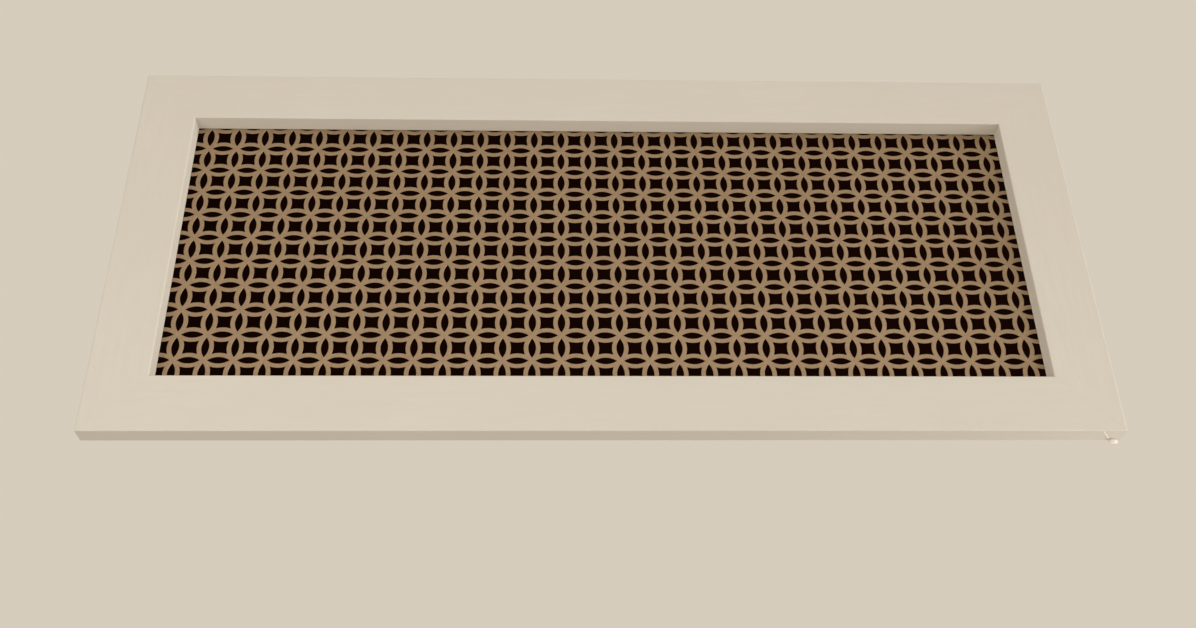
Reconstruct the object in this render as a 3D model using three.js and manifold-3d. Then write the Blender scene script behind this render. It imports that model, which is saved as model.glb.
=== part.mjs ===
// Wall vent cover: four painted boards mitred into a flat frame, with one thin pierced metal sheet let
// into a rabbet round the frame's back. Air passes through the holes of the sheet.
// Millimetres. +X runs along the cover, +Y out of its back and +Z up. The origin is the centre of the top
// rail's flat back, where the cover is fastened.
import * as THREE from "three";
import { mergeGeometries, mergeVertices } from "three/addons/utils/BufferGeometryUtils.js";
import Module from "manifold-3d";

const wasm = await Module();
wasm.setup();

// The frame of boards
const opening_width = 762;
const opening_height = 276;
const board_width = 51.6;
const board_thickness = 17.5;
const arris_radius = 0.9;
const arris_steps = 4;
const mitre_gap = 0.3;

// The pierced sheet: its laps are how far it runs behind the stiles and behind the rails
const sheet_thickness = 0.5;
const side_lap = 9.3;
const end_lap = 8;
const edge_clearance = 1.2;
const seat_gap = 0.3;
const back_recess = 0.6;

// The sheet's pattern: circles centred on the square holes interlock, and the metal left along each
// circle is one strand wide
const pitch = 25.4;
const strand_width = 3.8;
const edge_strip = 1.5;

const board_colour = 0xd8cab4;
const sheet_colour = 0xa18260;

// The rabbet holds the sheet with a little room round it and keeps it short of the frame's flat back
const rabbet_depth = seat_gap + sheet_thickness + back_recess;
const side_rabbet = side_lap + edge_clearance;
const end_rabbet = end_lap + edge_clearance;
const opening_centre_z = -(board_width + end_rabbet + opening_height) / 2;

// Cross-section of a board. The first axis is depth, with the front at -board_thickness and the back at
// 0, and the second runs from the inner edge at 0 to the outer edge. Both front arrises are eased.
function boardSection(rabbet_width) {
  const section = new THREE.Shape();
  const front = -board_thickness;
  section.moveTo(0, rabbet_width);
  section.lineTo(0, board_width);
  section.lineTo(front + arris_radius, board_width);
  section.absarc(front + arris_radius, board_width - arris_radius, arris_radius, Math.PI / 2, Math.PI);
  section.lineTo(front, arris_radius);
  section.absarc(front + arris_radius, arris_radius, arris_radius, Math.PI, Math.PI * 1.5);
  section.lineTo(-rabbet_depth, 0);
  section.lineTo(-rabbet_depth, rabbet_width);
  section.closePath();
  return section;
}

// A board along X with its inner edge at Z = 0. Each end is stretched to its mitre plane, so the board
// is inner_length long at the opening and longer by its width at each end outside.
function boardGeometry(inner_length, rabbet_width) {
  const geometry = new THREE.ExtrudeGeometry(boardSection(rabbet_width), {
    depth: 2,
    curveSegments: arris_steps,
    bevelEnabled: false,
  });
  geometry.translate(0, 0, -1);
  geometry.applyMatrix4(
    new THREE.Matrix4().makeBasis(
      new THREE.Vector3(0, 1, 0),
      new THREE.Vector3(0, 0, 1),
      new THREE.Vector3(1, 0, 0),
    ),
  );
  const place = geometry.getAttribute("position");
  for (let i = 0; i < place.count; i++) {
    const half_length = inner_length / 2 + place.getZ(i) - mitre_gap / Math.SQRT2;
    place.setX(i, place.getX(i) * half_length);
  }
  geometry.computeVertexNormals();
  return geometry;
}

// Half the width of a square hole. Its true sides are hollow arcs of the circles round the four
// neighbouring holes, and the straight side runs halfway between such an arc's corners and its middle.
function holeHalfWidth() {
  const strand_outer_radius = pitch / Math.SQRT2 + strand_width / 2;
  const corner = (pitch - Math.sqrt(2 * strand_outer_radius ** 2 - pitch ** 2)) / 2;
  const middle = pitch - strand_outer_radius;
  return (corner + middle) / 2;
}

function solidFrom(geometry) {
  geometry.deleteAttribute("normal");
  geometry.deleteAttribute("uv");
  const welded = mergeVertices(geometry);
  const mesh = new wasm.Mesh({
    numProp: 3,
    vertProperties: welded.getAttribute("position").array,
    triVerts: new Uint32Array(welded.index.array),
  });
  return new wasm.Manifold(mesh);
}

function geometryFrom(solid) {
  const mesh = solid.getMesh();
  const geometry = new THREE.BufferGeometry();
  geometry.setAttribute("position", new THREE.BufferAttribute(mesh.vertProperties, 3));
  geometry.setIndex(new THREE.BufferAttribute(mesh.triVerts, 1));
  geometry.computeVertexNormals();
  return geometry;
}

// The sheet stands upright round the centre of the opening, with its front face at Y = 0. A square hole
// is on its centre, and the others repeat from there as far as whole holes fit.
function sheetGeometry() {
  const half_width = opening_width / 2 + side_lap;
  const half_height = opening_height / 2 + end_lap;
  const hole = holeHalfWidth();
  const columns_each_side = Math.floor((half_width - hole - edge_strip) / pitch);
  const rows_each_side = Math.floor((half_height - hole - edge_strip) / pitch);
  const plate = new THREE.BoxGeometry(half_width * 2, sheet_thickness, half_height * 2);
  const holes = [];
  for (let row = -rows_each_side; row <= rows_each_side; row++) {
    for (let column = -columns_each_side; column <= columns_each_side; column++) {
      const hole_cutter = new THREE.BoxGeometry(hole * 2, sheet_thickness * 3, hole * 2);
      holes.push(hole_cutter.translate(column * pitch, 0, row * pitch));
    }
  }
  const pierced = solidFrom(plate).subtract(solidFrom(mergeGeometries(holes)));
  return geometryFrom(pierced).translate(0, sheet_thickness / 2, 0);
}

function boardMesh(name, turn_degrees, inner_length, half_opening, rabbet_width) {
  const material = new THREE.MeshStandardMaterial({ color: board_colour, roughness: 0.6, metalness: 0 });
  const mesh = new THREE.Mesh(boardGeometry(inner_length, rabbet_width), material);
  const turn = THREE.MathUtils.degToRad(turn_degrees);
  mesh.name = name;
  mesh.rotation.y = turn;
  mesh.position.set(Math.sin(turn) * half_opening, 0, Math.cos(turn) * half_opening);
  return mesh;
}

function sheetMesh() {
  const material = new THREE.MeshStandardMaterial({ color: sheet_colour, roughness: 0.5, metalness: 0.3 });
  const mesh = new THREE.Mesh(sheetGeometry(), material);
  mesh.name = "pierced_sheet";
  mesh.position.y = -back_recess - sheet_thickness;
  return mesh;
}

const cover = new THREE.Group();
cover.position.z = opening_centre_z;
cover.add(boardMesh("top_rail", 0, opening_width, opening_height / 2, end_rabbet));
cover.add(boardMesh("right_stile", 90, opening_height, opening_width / 2, side_rabbet));
cover.add(boardMesh("bottom_rail", 180, opening_width, opening_height / 2, end_rabbet));
cover.add(boardMesh("left_stile", 270, opening_height, opening_width / 2, side_rabbet));
cover.add(sheetMesh());

export default cover;
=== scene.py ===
"""Looks of the vent cover: four mitred painted boards round a pierced metal sheet, in metres."""
import math

import bmesh
import bpy
from mathutils import Matrix, Vector


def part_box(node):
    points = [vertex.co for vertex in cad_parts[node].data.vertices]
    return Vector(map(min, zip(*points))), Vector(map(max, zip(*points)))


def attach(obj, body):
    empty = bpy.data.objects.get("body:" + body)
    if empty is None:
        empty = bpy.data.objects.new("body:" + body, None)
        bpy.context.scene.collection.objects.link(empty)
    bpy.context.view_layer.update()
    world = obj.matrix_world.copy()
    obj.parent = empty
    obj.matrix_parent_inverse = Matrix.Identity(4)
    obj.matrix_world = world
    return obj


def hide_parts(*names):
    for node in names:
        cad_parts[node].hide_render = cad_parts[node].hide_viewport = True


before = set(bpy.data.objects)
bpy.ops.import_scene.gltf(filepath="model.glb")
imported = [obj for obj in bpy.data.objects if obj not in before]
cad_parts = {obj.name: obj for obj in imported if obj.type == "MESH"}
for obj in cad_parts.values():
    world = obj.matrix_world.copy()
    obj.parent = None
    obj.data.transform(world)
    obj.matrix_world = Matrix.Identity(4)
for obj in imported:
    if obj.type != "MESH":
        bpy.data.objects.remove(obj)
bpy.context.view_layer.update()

MM = 0.001

# Sizes that follow the frame
left_low, left_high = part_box("left_stile")
right_low, right_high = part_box("right_stile")
top_low, top_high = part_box("top_rail")
bottom_low, bottom_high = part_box("bottom_rail")
sheet_low, sheet_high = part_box("pierced_sheet")
opening_width = right_low.x - left_high.x
opening_height = top_low.z - bottom_high.z
board_width = top_high.z - top_low.z
board_thickness = top_high.y - top_low.y
centre = Vector((0, 0, (top_low.z + bottom_high.z) / 2))

# The boards: their rounded front arrises, the hairlines at their mitres, and the rabbet for the sheet
arris_radius = 0.9 * MM
arris_segments = 4
joint_gap = 0.01 * MM
joint_easing = 0.05 * MM
joint_segments = 2
seat_gap = 0.3 * MM
rabbet_depth = seat_gap - sheet_low.y
rabbet_room = 1.2 * MM

# A thread of filler that dried across the bottom rail's underside and ends in a drop at its back
run_start = Vector((right_high.x - 20 * MM, -16.4 * MM, bottom_low.z))
run_end = Vector((right_high.x - 10.4 * MM, -1.5 * MM, bottom_low.z))
run_half_width = 0.6 * MM
run_height = 0.45 * MM
drop_centre = Vector((right_high.x - 7.4 * MM, -1.6 * MM, bottom_low.z - 2.1 * MM))
drop_radii = Vector((4.3, 1.6, 2.5)) * MM
blob_segments = 24
blob_rings = 12

# The sheet's pattern: circles centred on the square holes, one strand wide. A strand's arc has
# arc_steps steps from a crossing to the middle between two crossings
pitch = 25.4 * MM
strand_width = 3.8 * MM
strand_easing = 0.1 * MM
arc_steps = 5

# Points this near each other are merged, and points this near a cut count as lying on it
merge_distance = 0.001 * MM
cut_distance = 0.0001 * MM

# Corners that turn more than this stay sharp
sharp_angle = math.radians(30)

# The order of the materials on a board
paint_index, fibreboard_index, filler_index = range(3)

# A face belongs to a board's end, or to its back, when more than this of its normal points that way
end_share = 0.5
back_share = 0.9

# Colours, in linear red, green and blue
paint_dull = (0.605, 0.572, 0.501)
paint_clean = (0.629, 0.589, 0.526)
paint_brush_mark = (0.602, 0.567, 0.498)
fibre_dark = (0.33, 0.225, 0.135)
fibre_light = (0.42, 0.30, 0.19)
fibre_fleck = (0.30, 0.20, 0.12)
filler_dull = (0.74, 0.68, 0.60)
filler_clean = (0.83, 0.77, 0.69)
bronze_dull = (0.359, 0.249, 0.151)
bronze_clean = (0.403, 0.290, 0.181)
bronze_fleck = (0.307, 0.210, 0.122)

# Brush marks and rolling marks are drawn out along one axis: the smaller the scale, the longer they are
brush_scale = 0.12
rolling_scale = 0.08

# Nearly all of a noise lies between these
noise_low = 0.3
noise_high = 0.7


def finish_mesh(bm, name, materials):
    """Turns a bmesh into an object that is shaded smooth between its sharp corners."""
    for face in bm.faces:
        face.smooth = True
    for edge in bm.edges:
        edge.smooth = len(edge.link_faces) == 2 and edge.calc_face_angle() < sharp_angle
    mesh = bpy.data.meshes.new(name)
    bm.to_mesh(mesh)
    bm.free()
    for material in materials:
        mesh.materials.append(material)
    piece = bpy.data.objects.new(name, mesh)
    bpy.context.scene.collection.objects.link(piece)
    return piece


def weight_normals(piece):
    """Keeps a board's large faces shaded flat beside its rounded arrises."""
    weighted = piece.modifiers.new("weighted normals", "WEIGHTED_NORMAL")
    weighted.keep_sharp = True


# Materials

class Nodes:
    """A material's node tree with short calls for adding and joining nodes."""

    def __init__(self, name):
        self.material = bpy.data.materials.new(name)
        self.material.use_nodes = True
        self.tree = self.material.node_tree
        self.shader = self.tree.nodes["Principled BSDF"]
        self.coordinates = self.add("ShaderNodeTexCoord").outputs["Object"]

    def add(self, kind, **values):
        node = self.tree.nodes.new(kind)
        for key, value in values.items():
            setattr(node, key, value)
        return node

    def join(self, output, socket):
        self.tree.links.new(output, socket)

    def stretched(self, scale):
        mapping = self.add("ShaderNodeMapping")
        mapping.inputs["Scale"].default_value = scale
        self.join(self.coordinates, mapping.inputs["Vector"])
        return mapping.outputs["Vector"]

    def noise(self, scale, detail=2, roughness=0.5, vector=None):
        noise = self.add("ShaderNodeTexNoise")
        noise.inputs["Scale"].default_value = scale
        noise.inputs["Detail"].default_value = detail
        noise.inputs["Roughness"].default_value = roughness
        self.join(vector or self.coordinates, noise.inputs["Vector"])
        return noise.outputs["Fac"]

    def spread(self, value, low, high):
        """Maps a noise from noise_low and noise_high to low and high, and holds it there."""
        spread = self.add("ShaderNodeMapRange")
        spread.inputs["From Min"].default_value = noise_low
        spread.inputs["From Max"].default_value = noise_high
        spread.inputs["To Min"].default_value = low
        spread.inputs["To Max"].default_value = high
        self.join(value, spread.inputs["Value"])
        return spread.outputs["Result"]

    def blend(self, value, first, second):
        """A colour between first and second, each a colour or another colour output."""
        mix = self.add("ShaderNodeMix", data_type="RGBA")
        self.join(value, mix.inputs["Factor"])
        for name, colour in (("A", first), ("B", second)):
            socket = next(s for s in mix.inputs if s.name == name and s.type == "RGBA")
            if isinstance(colour, tuple):
                socket.default_value = (*colour, 1)
            else:
                self.join(colour, socket)
        return next(s for s in mix.outputs if s.type == "RGBA")

    def bump(self, height, distance, strength, normal=None):
        bump = self.add("ShaderNodeBump")
        bump.inputs["Distance"].default_value = distance
        bump.inputs["Strength"].default_value = strength
        self.join(height, bump.inputs["Height"])
        if normal:
            self.join(normal, bump.inputs["Normal"])
        return bump.outputs["Normal"]


def eggshell_paint(name, grain):
    """Warm off-white eggshell, brushed on: grain draws the brush marks out along the board."""
    paint = Nodes(name)
    along = paint.stretched(grain)
    cloud = paint.spread(paint.noise(9, 3), 0, 1)
    tone = paint.blend(cloud, paint_dull, paint_clean)
    streak = paint.spread(paint.noise(260, 3, 0.6, along), 0, 1)
    brushed_tone = paint.blend(streak, paint_brush_mark, tone)
    paint.join(brushed_tone, paint.shader.inputs["Base Color"])
    paint.join(paint.spread(paint.noise(45, 3), 0.44, 0.58), paint.shader.inputs["Roughness"])
    brushed = paint.bump(paint.noise(420, 2, 0.5, along), 0.15 * MM, 0.35)
    stipple = paint.bump(paint.noise(700, 2, 0.6), 0.12 * MM, 0.4, brushed)
    paint.join(stipple, paint.shader.inputs["Normal"])
    paint.shader.inputs["Specular IOR Level"].default_value = 0.4
    return paint.material


def bare_fibreboard():
    """The unpainted back of a board: brown pressed fibre, lightly mottled."""
    fibre = Nodes("bare_fibreboard")
    mottle = fibre.spread(fibre.noise(60, 4, 0.65), 0, 1)
    tone = fibre.blend(mottle, fibre_dark, fibre_light)
    fleck = fibre.spread(fibre.noise(900, 2, 0.7), 0, 1)
    fibre.join(fibre.blend(fleck, fibre_fleck, tone), fibre.shader.inputs["Base Color"])
    fibre.join(fibre.bump(fibre.noise(1300, 2, 0.7), 0.1 * MM, 0.5), fibre.shader.inputs["Normal"])
    fibre.shader.inputs["Roughness"].default_value = 0.85
    return fibre.material


def pale_filler():
    """The pale filler that the thread and the drop under the bottom rail are made of."""
    filler = Nodes("pale_filler")
    mottle = filler.spread(filler.noise(500, 3, 0.6), 0, 1)
    tone = filler.blend(mottle, filler_dull, filler_clean)
    filler.join(tone, filler.shader.inputs["Base Color"])
    filler.join(filler.bump(filler.noise(900, 3, 0.6), 0.4 * MM, 0.8), filler.shader.inputs["Normal"])
    filler.shader.inputs["Roughness"].default_value = 0.9
    return filler.material


def light_bronze():
    """Satin light bronze finish on rolled sheet, a little darker where it has dulled."""
    metal = Nodes("light_bronze")
    rolled = metal.stretched((rolling_scale, 1, 1))
    cloud = metal.spread(metal.noise(14, 3, 0.55), 0, 1)
    tone = metal.blend(cloud, bronze_dull, bronze_clean)
    fleck = metal.spread(metal.noise(480, 3, 0.6), 0, 1)
    metal.join(metal.blend(fleck, bronze_fleck, tone), metal.shader.inputs["Base Color"])
    metal.join(metal.spread(metal.noise(120, 3), 0.32, 0.42), metal.shader.inputs["Roughness"])
    metal.join(metal.bump(metal.noise(900, 2, 0.5, rolled), 0.05 * MM, 0.3), metal.shader.inputs["Normal"])
    metal.shader.inputs["Metallic"].default_value = 0.55
    return metal.material


# Boards

def board_section(bm, rabbet_width):
    """A board's cross-section at X = -1, with both front arrises rounded."""
    front = -board_thickness
    corners = [
        (0, rabbet_width),
        (0, board_width),
        (front, board_width),
        (front, 0),
        (-rabbet_depth, 0),
        (-rabbet_depth, rabbet_width),
    ]
    section = [bm.verts.new((-1, y, z)) for y, z in corners]
    bm.faces.new(section)
    front_corners = section[2:4]
    bmesh.ops.bevel(
        bm,
        geom=front_corners,
        offset=arris_radius,
        affect="VERTICES",
        segments=arris_segments,
        profile=0.5,
        material=-1,
    )


def add_blob(bm, place, radii, turn):
    """A smooth rounded lump of filler, sunk partly into the board."""
    matrix = Matrix.Translation(place) @ turn @ Matrix.Diagonal((*radii, 1))
    made = bmesh.ops.create_uvsphere(
        bm,
        u_segments=blob_segments,
        v_segments=blob_rings,
        radius=1,
        matrix=matrix,
    )
    for face in {face for vert in made["verts"] for face in vert.link_faces}:
        face.material_index = filler_index


def add_run(bm):
    """The dried thread across the underside, and the drop it leads to."""
    along = run_end - run_start
    turn = along.to_track_quat("Y", "Z").to_matrix().to_4x4()
    radii = Vector((run_half_width, along.length / 2, run_height))
    add_blob(bm, (run_start + run_end) / 2, radii, turn)
    add_blob(bm, drop_centre, drop_radii, Matrix.Identity(4))


def board(node, turn_degrees, inner_length, half_opening, lap, paint, dripped=False):
    """A mitred board, made along X with its inner edge at Z = 0, then turned round the opening's centre.

    The ends stand at X = -1 and 1 until each point is stretched out to its mitre plane.
    """
    bm = bmesh.new()
    board_section(bm, lap + rabbet_room)
    pulled = bmesh.ops.extrude_face_region(bm, geom=bm.faces[:])
    far_end = [v for v in pulled["geom"] if isinstance(v, bmesh.types.BMVert)]
    bmesh.ops.translate(bm, verts=far_end, vec=(2, 0, 0))
    for vert in bm.verts:
        vert.co.x *= inner_length / 2 + vert.co.z - joint_gap / math.sqrt(2)
    bmesh.ops.recalc_face_normals(bm, faces=bm.faces)
    ends = [f for f in bm.faces if abs(f.normal.x) > end_share]
    middle = -board_thickness / 2
    seams = {e for f in ends for e in f.edges if min(v.co.y for v in e.verts) < middle}
    bmesh.ops.bevel(
        bm,
        geom=list(seams),
        offset=joint_easing,
        affect="EDGES",
        segments=joint_segments,
        profile=0.5,
        material=-1,
    )
    for face in bm.faces:
        face.material_index = fibreboard_index if face.normal.y > back_share else paint_index
    turn = Matrix.Rotation(math.radians(turn_degrees), 4, "Y")
    outwards = turn @ Vector((0, 0, half_opening))
    bmesh.ops.transform(bm, matrix=Matrix.Translation(centre + outwards) @ turn, verts=bm.verts)
    if dripped:
        add_run(bm)
    piece = finish_mesh(bm, "painted_" + node, [paint, fibreboard, filler])
    weight_normals(piece)
    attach(piece, "root")
    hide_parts(node)


# Pierced sheet

def strand_octant(bm):
    """An eighth of the crossing at the origin: the strand that passes above the lens hole on +X."""
    hub = Vector((pitch / 2, 0, -pitch / 2))
    inner = pitch / math.sqrt(2) - strand_width / 2
    outer = inner + strand_width
    front, back = sheet_low.y, sheet_high.y
    section = [
        (inner + strand_easing, front),
        (outer - strand_easing, front),
        (outer, front + strand_easing),
        (outer, back),
        (inner, back),
        (inner, front + strand_easing),
    ]
    ring = [bm.verts.new(hub + Vector((0, y, radius))) for radius, y in section]
    edges = [bm.edges.new((ring[i - 1], ring[i])) for i in range(len(ring))]
    bmesh.ops.spin(
        bm,
        geom=ring + edges,
        cent=hub,
        axis=(0, 1, 0),
        angle=-math.radians(45),
        steps=arc_steps,
    )
    for outside in ((0, 0, -1), (-1, 0, 1)):
        bmesh.ops.bisect_plane(
            bm,
            geom=bm.verts[:] + bm.edges[:] + bm.faces[:],
            dist=cut_distance,
            plane_co=(0, 0, 0),
            plane_no=outside,
            clear_outer=True,
        )


def add_copy(bm, matrix):
    copied = bmesh.ops.duplicate(bm, geom=bm.verts[:] + bm.edges[:] + bm.faces[:])
    verts = [v for v in copied["geom"] if isinstance(v, bmesh.types.BMVert)]
    bmesh.ops.transform(bm, matrix=matrix, verts=verts)


def crossing_mesh():
    """One pitch square of the pattern round a crossing, from the octant and its reflections."""
    bm = bmesh.new()
    strand_octant(bm)
    across_diagonal = Matrix(((0, 0, 1, 0), (0, 1, 0, 0), (1, 0, 0, 0), (0, 0, 0, 1)))
    add_copy(bm, across_diagonal)
    add_copy(bm, Matrix.Scale(-1, 4, (1, 0, 0)))
    add_copy(bm, Matrix.Scale(-1, 4, (0, 0, 1)))
    bmesh.ops.remove_doubles(bm, verts=bm.verts, dist=merge_distance)
    mesh = bpy.data.meshes.new("crossing")
    bm.to_mesh(mesh)
    bm.free()
    return mesh


def fill_grid(bm, mesh, columns, rows):
    """Copies of the crossing round the opening's centre. Even numbers of them put a square hole there."""
    for column in range(columns):
        for row in range(rows):
            before = len(bm.verts)
            bm.from_mesh(mesh)
            bm.verts.ensure_lookup_table()
            place = Vector(((column + 0.5 - columns / 2) * pitch, 0, (row + 0.5 - rows / 2) * pitch))
            bmesh.ops.translate(bm, verts=bm.verts[before:], vec=centre + place)


def shear_to_size(bm):
    """Cuts the pattern to the sheet's rectangle and closes the cut strands."""
    cuts = [
        (sheet_low, (-1, 0, 0)),
        (sheet_high, (1, 0, 0)),
        (sheet_low, (0, 0, -1)),
        (sheet_high, (0, 0, 1)),
    ]
    for point, outside in cuts:
        bmesh.ops.bisect_plane(
            bm,
            geom=bm.verts[:] + bm.edges[:] + bm.faces[:],
            dist=cut_distance,
            plane_co=point,
            plane_no=outside,
            clear_outer=True,
        )
        open_edges = [e for e in bm.edges if e.is_boundary]
        bmesh.ops.holes_fill(bm, edges=open_edges, sides=0)


def pierced_sheet(metal):
    """The whole sheet, with as many crossings as cover it, cut to the size of its node."""
    crossing = crossing_mesh()
    columns = 2 * math.ceil((sheet_high.x - sheet_low.x) / 2 / pitch)
    rows = 2 * math.ceil((sheet_high.z - sheet_low.z) / 2 / pitch)
    bm = bmesh.new()
    fill_grid(bm, crossing, columns, rows)
    bmesh.ops.remove_doubles(bm, verts=bm.verts, dist=merge_distance)
    shear_to_size(bm)
    bmesh.ops.recalc_face_normals(bm, faces=bm.faces)
    bpy.data.meshes.remove(crossing)
    piece = finish_mesh(bm, "bronze_pierced_sheet", [metal])
    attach(piece, "root")
    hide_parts("pierced_sheet")


# Camera, stage and light

# The camera's place from the opening's centre, its turns in degrees, and its lens in millimetres
camera_from_centre = Vector((-0.0491, -1.0052, -0.6854))
camera_yaw = 2.458
camera_pitch = 31.6
camera_roll = -1.12
camera_lens = 40.44
camera_sensor = 36


def make_camera():
    """The photo's viewpoint: turned left or right first, then tipped up, then rolled."""
    data = bpy.data.cameras.new("camera")
    data.sensor_width = camera_sensor
    data.lens = camera_lens
    camera = bpy.data.objects.new("camera", data)
    turn = Matrix.Rotation(math.radians(-camera_yaw), 4, "Z")
    turn = turn @ Matrix.Rotation(math.radians(90 + camera_pitch), 4, "X")
    turn = turn @ Matrix.Rotation(math.radians(camera_roll), 4, "Z")
    camera.matrix_world = Matrix.Translation(centre + camera_from_centre) @ turn
    bpy.context.scene.collection.objects.link(camera)
    bpy.context.scene.camera = camera


def plain_material(name, colour, roughness):
    material = bpy.data.materials.new(name)
    material.use_nodes = True
    shader = material.node_tree.nodes["Principled BSDF"]
    shader.inputs["Base Color"].default_value = (*colour, 1)
    shader.inputs["Roughness"].default_value = roughness
    shader.inputs["Specular IOR Level"].default_value = 0
    return material


def stage_plane(name, place, half_width, half_height, material, upright=False):
    bm = bmesh.new()
    bmesh.ops.create_grid(bm, x_segments=1, y_segments=1, size=1)
    bmesh.ops.scale(bm, verts=bm.verts, vec=(half_width, half_height, 1))
    if upright:
        bmesh.ops.rotate(bm, verts=bm.verts, matrix=Matrix.Rotation(math.radians(90), 3, "X"))
    bmesh.ops.translate(bm, verts=bm.verts, vec=place)
    mesh = bpy.data.meshes.new(name)
    bm.to_mesh(mesh)
    bm.free()
    mesh.materials.append(material)
    plane = bpy.data.objects.new(name, mesh)
    bpy.context.scene.collection.objects.link(plane)


floor_drop = 6
floor_half_size = 300
floor_colour = (0.72, 0.70, 0.67)
# A dark card far behind the sheet, painted shade in place of the unlit duct seen through the holes: its
# distance, its margin round the opening, and its colour
shade_card_distance = 3.2
shade_card_margin = 0.5 * board_width
painted_shade_colour = (0.007, 0.002, 0.001)


def make_stage():
    """A pale floor far below, and a dark card far behind that fills the view through the sheet with
    painted shade in place of the unlit duct.
    """
    pale = plain_material("floor", floor_colour, roughness=0.9)
    below = centre - Vector((0, 0, floor_drop))
    stage_plane("floor", below, floor_half_size, floor_half_size, pale)
    # The dark card is painted shade, in place of the unlit duct behind the cover
    dark = plain_material("painted_duct_shade", painted_shade_colour, roughness=1)
    reach = (shade_card_distance - camera_from_centre.y) / -camera_from_centre.y
    behind = centre + camera_from_centre * (1 - reach)
    half_width = reach * (opening_width / 2 + shade_card_margin)
    half_height = reach * (opening_height / 2 + shade_card_margin)
    stage_plane("shade_card_behind", behind, half_width, half_height, dark, upright=True)


world_colour = (0.675, 0.605, 0.505)

# Each light: its direction from the opening's centre, its distance, width and height, and its watts
lights = {
    "right": ((0.97, -0.25, 0), 7, 3.5, 3.5, 298),
    "left": ((-0.75, -0.66, 0), 4, 3, 3, 5),
    "front": ((0.08, -0.96, 0.22), 1.1, 1.9, 0.2, 1.65),
    "low_left": ((-0.45, -0.7, -0.55), 1.7, 1.2, 1.2, 8.9),
    "low": ((0, -0.8, -0.6), 1.2, 0.8, 0.8, 0.5),
    "under_right": ((0.8, -0.03, -0.6), 0.9, 0.5, 0.5, 1.35),
}


def area_light(name, direction, distance, width, height, watts):
    """A rectangular light that faces the opening's centre and doesn't show in the picture."""
    data = bpy.data.lights.new(name, "AREA")
    data.shape = "RECTANGLE"
    data.size = width
    data.size_y = height
    data.energy = watts
    light = bpy.data.objects.new(name, data)
    towards = Vector(direction).normalized()
    light.location = centre + towards * distance
    light.rotation_mode = "QUATERNION"
    light.rotation_quaternion = towards.to_track_quat("Z", "Y")
    light.visible_camera = False
    bpy.context.scene.collection.objects.link(light)


def make_light():
    world = bpy.data.worlds.new("studio")
    world.use_nodes = True
    background = world.node_tree.nodes["Background"]
    background.inputs["Color"].default_value = (*world_colour, 1)
    background.inputs["Strength"].default_value = 1
    bpy.context.scene.world = world
    for name, values in lights.items():
        area_light(name, *values)


scene = bpy.context.scene
scene.view_settings.view_transform = "Standard"
make_camera()
rail_paint = eggshell_paint("rail_paint", (brush_scale, 1, 1))
stile_paint = eggshell_paint("stile_paint", (1, 1, brush_scale))
fibreboard = bare_fibreboard()
filler = pale_filler()
side_lap = sheet_high.x - right_low.x
end_lap = sheet_high.z - top_low.z
board("top_rail", 0, opening_width, opening_height / 2, end_lap, rail_paint)
board("right_stile", 90, opening_height, opening_width / 2, side_lap, stile_paint)
board("bottom_rail", 180, opening_width, opening_height / 2, end_lap, rail_paint, dripped=True)
board("left_stile", 270, opening_height, opening_width / 2, side_lap, stile_paint)
pierced_sheet(light_bronze())
make_stage()
make_light()
